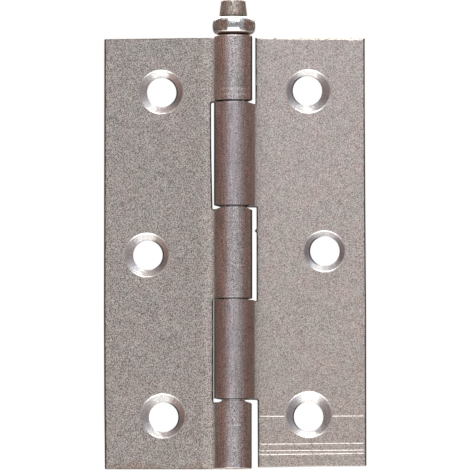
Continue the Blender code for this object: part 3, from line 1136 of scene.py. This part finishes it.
def door_leaf():
    """The leaf with knuckles 2 and 4."""
    foot = DOOR_LEAF_BOX[0].z
    return Leaf(
        node="door_leaf",
        side=1,
        free_edge=DOOR_LEAF_BOX[1].x,
        foot=foot,
        top=LEAF_TOP,
        spans=(
            Span(SECOND_FOOT, SECOND_TOP, 0.00030, 0.00024, 0.00045, 0.00004),
            Span(FOURTH_FOOT, FOURTH_TOP, 0.00020, 0.00020, 0.00008, 0.00004),
        ),
        notches=(
            Notch(SECOND_TOP, LEAF_TOP, ((0.0, 0.00077), (1.0, 0.00074))),
            Notch(FOURTH_TOP, SECOND_FOOT, ((0.0, 0.00102), (1.0, 0.00102))),
            Notch(foot, FOURTH_FOOT, ((0.0, 0.00133), (1.0, 0.00124))),
        ),
        holes=holes_of("door_leaf", DOOR_LEAF_SINKS),
        scribes=(
            Scribe(-0.03797, -0.03783, 0.00025, 0.00016),
            Scribe(-0.04436, -0.04415, 0.00024, 0.00014),
            Scribe(-0.04590, -0.04569, 0.00024, 0.00014),
            Scribe(-0.04680, -0.04646, 0.00027, 0.00012),
        ),
        burrs=(Burr(0.00512, 0.00045, 0.00042),),
        top_line=LEVEL,
        foot_line=((0.0, 0.00030), (0.45, 0.00025), (0.75, 0.00010), (1.0, 0.0)),
        side_line=((0.0, 0.0), (0.37, 0.0), (0.62, 0.00014), (0.84, 0.00022), (1.0, 0.00022)),
        side_rim=0.00035,
        swell=((0.38, 0.00010), (0.62, 0.00012)),
        flare=((0.0, 0.00044), (1.0, 0.00066)),
    )


def dress_leaf(leaf, steels):
    """The whole leaf, drilled and countersunk, in its materials."""
    materials, bare = steels(leaf)
    item = show(f"{leaf.node}_dressed", leaf_mesh(leaf))
    for material in materials:
        item.data.materials.append(material)
    drill_holes(item, leaf, bare)
    smooth(item, LEAF_SHARP)
    weigh_normals(item)
    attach(item, leaf.node)
    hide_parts(leaf.node)


def bead_section():
    """The bead from its top to its foot, where it stands clear of the cap and the shank."""
    points = []
    half = BEAD_HEIGHT / 2
    for step in range(1, BEAD_STEPS):
        height = math.cos(math.pi * step / BEAD_STEPS)
        taper, squareness, neck = BEAD_ABOVE if height > 0 else BEAD_BELOW
        corner = (1 - abs(height) ** squareness) ** 0.25
        radius = BEAD_RADIUS * (1 - taper * height**2) * corner
        if radius > neck:
            points.append((radius, BEAD_FOOT + half + half * height))
    return points


def pin_section():
    """The pin from the middle of the cap's top down to the middle of its lower end."""
    points = [(0.0, CAP_TOP)]
    shoulder = CAP_TOP - CAP_ROUND
    for step in range(CAP_STEPS + 1):
        angle = math.pi / 2 * (1 - step / CAP_STEPS)
        radius = CAP_TOP_RADIUS - CAP_ROUND + CAP_ROUND * math.cos(angle)
        points.append((radius, shoulder + CAP_ROUND * math.sin(angle)))
    for part in (0.25, 0.5, 0.75, 0.96):
        radius = CAP_TOP_RADIUS + (CAP_BASE_RADIUS - CAP_TOP_RADIUS) * part
        points.append((radius, shoulder + (BEAD_TOP - shoulder) * part))
    points.append((CAP_BASE_RADIUS - 0.00020, BEAD_TOP + 0.00006))
    points.append((CAP_BASE_RADIUS - 0.00018, BEAD_TOP - 0.00002))
    points += bead_section()
    shank_end = PIN_END + END_CHAMFER
    for step in range(SHANK_STEPS + 1):
        points.append((SHANK_RADIUS, BEAD_FOOT + (shank_end - BEAD_FOOT) * step / SHANK_STEPS))
    points.append((SHANK_RADIUS - END_CHAMFER, PIN_END))
    points.append((0.0, PIN_END))
    return points


def dress_pin():
    """The pin with its head, whose bead was turned off centre."""
    mesh = turned_mesh("pin", pin_section(), TURNED_STEPS)
    mesh.transform(Matrix.Translation((AXIS_X, AXIS_Y, 0.0)))
    for material in (bead_steel(), cap_steel()):
        mesh.materials.append(material)
    for face in mesh.polygons:
        if face.center.z > BEAD_TOP:
            face.material_index = 1
    for vertex in mesh.vertices:
        if BEAD_FOOT < vertex.co.z < BEAD_TOP:
            vertex.co.x = AXIS_X + (vertex.co.x - AXIS_X) * BEAD_WIDTH + BEAD_OFFSET
    item = show("pin_dressed", mesh)
    smooth(item, PIN_SHARP)
    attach(item, "pin")
    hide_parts("pin")


# Stage

VIEW_TARGET = Vector((0.01535, -0.0016, 0.00409))
VIEW_DISTANCE = 1.27
VIEW_ELEVATION = -4.2
LENS = 420.8
SENSOR_WIDTH = 36.0
FLOOR_SIZE = 12.0
FLOOR_HEIGHT = -1.35
FLOOR_GREY = (0.8, 0.8, 0.8)
FLOOR_GLOW = 0.75
AMBIENT = (0.25, 0.2, 0.18)
BROWN = (0.27, 0.155, 0.125)
WARM_BROWN = (0.30, 0.18, 0.15)
DIM = (0.25, 0.22, 0.205)
GREY = (0.39, 0.36, 0.365)

# A lamp or a card: the direction that it stands in, its distance and size, and the lamp's radiance or the
# card's colour
Panel = namedtuple("Panel", "name azimuth elevation distance width height light")
LAMPS = (
    Panel("overhead_softbox", 2.0, 64.0, 0.9, 0.8, 1.4, 2.6),
    Panel("front_softbox", -1.0, -40.0, 1.0, 1.2, 0.9, 2.2),
    Panel("back_softbox", 180.0, 50.0, 0.9, 1.4, 0.9, 3.0),
)
CARDS = (
    Panel("left_card", -81.5, 0.0, 1.15, 2.42, 6.0, WARM_BROWN),
    Panel("left_back_card", -150.0, 0.0, 1.15, 0.93, 1.2, DIM),
    Panel("right_card", 94.0, 0.0, 1.15, 1.55, 2.6, BROWN),
    Panel("right_back_card", 150.0, 0.0, 1.15, 0.93, 1.2, DIM),
    Panel("front_card", 12.5, 0.0, 1.2, 2.62, 2.2, GREY),
)


def put(item, azimuth, elevation, distance, target):
    """Puts an item in a direction from its target, facing it; azimuth 0 is the front, 90 the right."""
    azimuth = math.radians(azimuth)
    elevation = math.radians(elevation)
    flat = math.cos(elevation)
    way = Vector((math.sin(azimuth) * flat, -math.cos(azimuth) * flat, math.sin(elevation)))
    item.location = target + way * distance
    item.rotation_mode = "QUATERNION"
    item.rotation_quaternion = (-way).to_track_quat("-Z", "Y")


def camera():
    """The photo's camera."""
    data = bpy.data.cameras.new("camera")
    data.lens = LENS
    data.sensor_width = SENSOR_WIDTH
    data.clip_end = 10.0
    item = show("camera", data)
    put(item, 0.0, VIEW_ELEVATION, VIEW_DISTANCE, VIEW_TARGET)
    bpy.context.scene.camera = item


def softbox(lamp):
    """A large soft lamp that the camera doesn't see."""
    data = bpy.data.lights.new(lamp.name, "AREA")
    data.shape = "RECTANGLE"
    data.size = lamp.width
    data.size_y = lamp.height
    data.energy = math.pi * lamp.width * lamp.height * lamp.light
    item = show(lamp.name, data)
    put(item, lamp.azimuth, lamp.elevation, lamp.distance, Vector())
    item.visible_camera = False


def sheet(name, width, height, z=0.0):
    """A flat rectangular mesh."""
    w, h = width / 2, height / 2
    mesh = bpy.data.meshes.new(name)
    mesh.from_pydata([(-w, -h, z), (w, -h, z), (w, h, z), (-w, h, z)], [], [(0, 1, 2, 3)])
    return mesh


def card(panel):
    """A dim panel that the camera doesn't see, for the metal to mirror."""
    nodes = material_nodes(panel.name)
    nodes.tree.nodes.remove(nodes.shader)
    glow = nodes.add("ShaderNodeEmission", {"Color": panel.light, "Strength": 1.0}, "Emission")
    nodes.set(nodes.tree.nodes["Material Output"], {"Surface": glow})
    mesh = sheet(panel.name, panel.width, panel.height)
    mesh.materials.append(nodes.owner)
    item = show(panel.name, mesh)
    put(item, panel.azimuth, panel.elevation, panel.distance, Vector())
    item.visible_camera = False
    item.visible_shadow = False


def background_mask(nodes):
    """1 for what the camera, gloss and glass see."""
    path = nodes.tree.nodes.new("ShaderNodeLightPath").outputs
    seen = nodes.math("MAXIMUM", path["Is Camera Ray"], path["Is Glossy Ray"])
    return nodes.math("MAXIMUM", seen, path["Is Transmission Ray"])


def floor():
    """A white floor that keeps the object's shadow."""
    nodes = material_nodes("floor")
    glow = nodes.times(background_mask(nodes), FLOOR_GLOW)
    surface = {"Base Color": FLOOR_GREY, "Roughness": 0.9, "Emission Color": WHITE, "Emission Strength": glow}
    nodes.set(nodes.shader, surface)
    mesh = sheet("floor", FLOOR_SIZE, FLOOR_SIZE, FLOOR_HEIGHT)
    mesh.materials.append(nodes.owner)
    show("floor", mesh)


def world():
    """White for what the camera, gloss and glass see, and a dim brown light for the rest."""
    nodes = Nodes(bpy.data.worlds.new("studio"), "Background")
    color = nodes.mix(background_mask(nodes), AMBIENT, WHITE)
    nodes.set(nodes.shader, {"Color": color, "Strength": 1.0})
    bpy.context.scene.world = nodes.owner


def stage():
    """The camera, the light and what the metal mirrors."""
    camera()
    world()
    floor()
    for lamp in LAMPS:
        softbox(lamp)
    for panel in CARDS:
        card(panel)


# Steels of the leaves


def frame_leaf_steels(leaf):
    """The frame leaf's sheet, its sheared edges and its countersinks."""
    marks = (
        # The first four are bright bands across the top knuckle's front, painted as highlights
        Mark(AXIS_X, 0.03733, 0.0030, 0.00036, 1.24),
        Mark(AXIS_X, 0.03750, 0.0030, 0.00014, 1.25),
        Mark(AXIS_X, 0.03605, 0.0030, 0.00046, 1.16),
        Mark(AXIS_X, 0.03622, 0.0030, 0.00022, 1.22),
        Mark(AXIS_X + 0.0014, -0.00338, 0.0014, 0.00010, 1.6),
        Mark(AXIS_X + 0.0010, -0.04011, 0.0007, 0.00012, 1.8),
    )
    beside = AXIS_X - BARREL_RADIUS
    tones = Tones(
        warm=(0.365, 0.331, 0.312),
        cool=(0.347, 0.333, 0.311),
        foot=(0.965, 0.955, 0.96),
        top=(0.99, 0.99, 1.0),
        # rolled: bluer and brighter, partly a painted highlight
        rolled=(1.40, 1.43, 1.55),
        # away: a painted shade on the roll's far limb
        away=(0.06, 0.052, 0.05),
        film=(0.97, 0.91, 0.84),
        limb=0.00393,
        grain=0.76,
        # Painted light beside the barrel, then a painted shadow right next to it
        gains=((beside - 0.0032, beside, 1.0, 1.66), (beside - 0.0009, beside, 1.0, 0.70)),
    )
    raw = leaf_steel("frame_leaf_raw", leaf, tones, marks)
    # Painted reflections and shade round the countersinks
    painted_sink_sides = (
        PaintedSinkSide(188.0, 0.80, 1.00, (0.56, 0.545, 0.52)),
        PaintedSinkSide(250.0, 0.80, 0.97, (0.76, 0.79, 0.85)),
        PaintedSinkSide(103.0, 0.00, 0.35, (0.41, 0.35, 0.33)),
        PaintedSinkSide(145.0, 0.50, 0.90, (0.25, 0.22, 0.21)),
        PaintedSinkSide(278.0, 0.50, 0.95, (0.54, 0.525, 0.535)),
    )
    return (raw, sheared_edge()), cut_steel("frame_leaf_sinks", leaf, painted_sink_sides)


def door_leaf_steels(leaf):
    """The door leaf's sheet, its sheared and burred edges and its countersinks."""
    marks = (
        Mark(0.02424, -0.03675, 0.00016, 0.00012, 1.7),
        Mark(0.03753, 0.03806, 0.00013, 0.00013, 0.35),
        Mark(0.02563, -0.04816, 0.00013, 0.00013, 0.45),
        Mark(0.02840, 0.00546, 0.00480, 0.00006, 1.12),
    )
    beside = AXIS_X + BARREL_RADIUS
    tones = Tones(
        warm=(0.450, 0.403, 0.385),
        cool=(0.427, 0.406, 0.384),
        foot=(0.905, 0.885, 0.865),
        top=(1.03, 1.03, 1.05),
        # rolled: bluer and brighter, partly a painted highlight
        rolled=(1.09, 1.11, 1.22),
        # away: a painted shade on the roll's far limb
        away=(0.22, 0.20, 0.195),
        film=(1.0, 1.0, 1.0),
        limb=0.00404,
        grain=0.58,
        # Painted light beside the barrel
        gains=((beside + 0.0020, beside, 1.0, 1.05),),
    )
    raw = leaf_steel("door_leaf_raw", leaf, tones, marks)
    burr = bright_edge("burr_line", (0.36, 0.32, 0.29), (0.98, 0.92, 0.86))
    bent = bright_edge("bent_edge", (0.15, 0.12, 0.10), (0.40, 0.375, 0.325))
    # Painted reflections and shade round the countersinks
    painted_sink_sides = (
        PaintedSinkSide(204.0, 0.86, 1.00, (0.50, 0.49, 0.475)),
        PaintedSinkSide(250.0, 0.80, 0.97, (0.74, 0.79, 0.88)),
        PaintedSinkSide(95.0, 0.30, 0.75, (0.43, 0.40, 0.40)),
        PaintedSinkSide(140.0, 0.70, 0.97, (0.30, 0.285, 0.285)),
        PaintedSinkSide(275.0, 0.35, 0.90, (0.42, 0.415, 0.44)),
    )
    return (raw, sheared_edge(), burr, bent), cut_steel("door_leaf_sinks", leaf, painted_sink_sides)


# Scene


def build():
    """The hinge on its stage."""
    dress_leaf(frame_leaf(), frame_leaf_steels)
    dress_leaf(door_leaf(), door_leaf_steels)
    dress_pin()
    stage()
    bpy.context.scene.view_settings.view_transform = "Standard"


build()
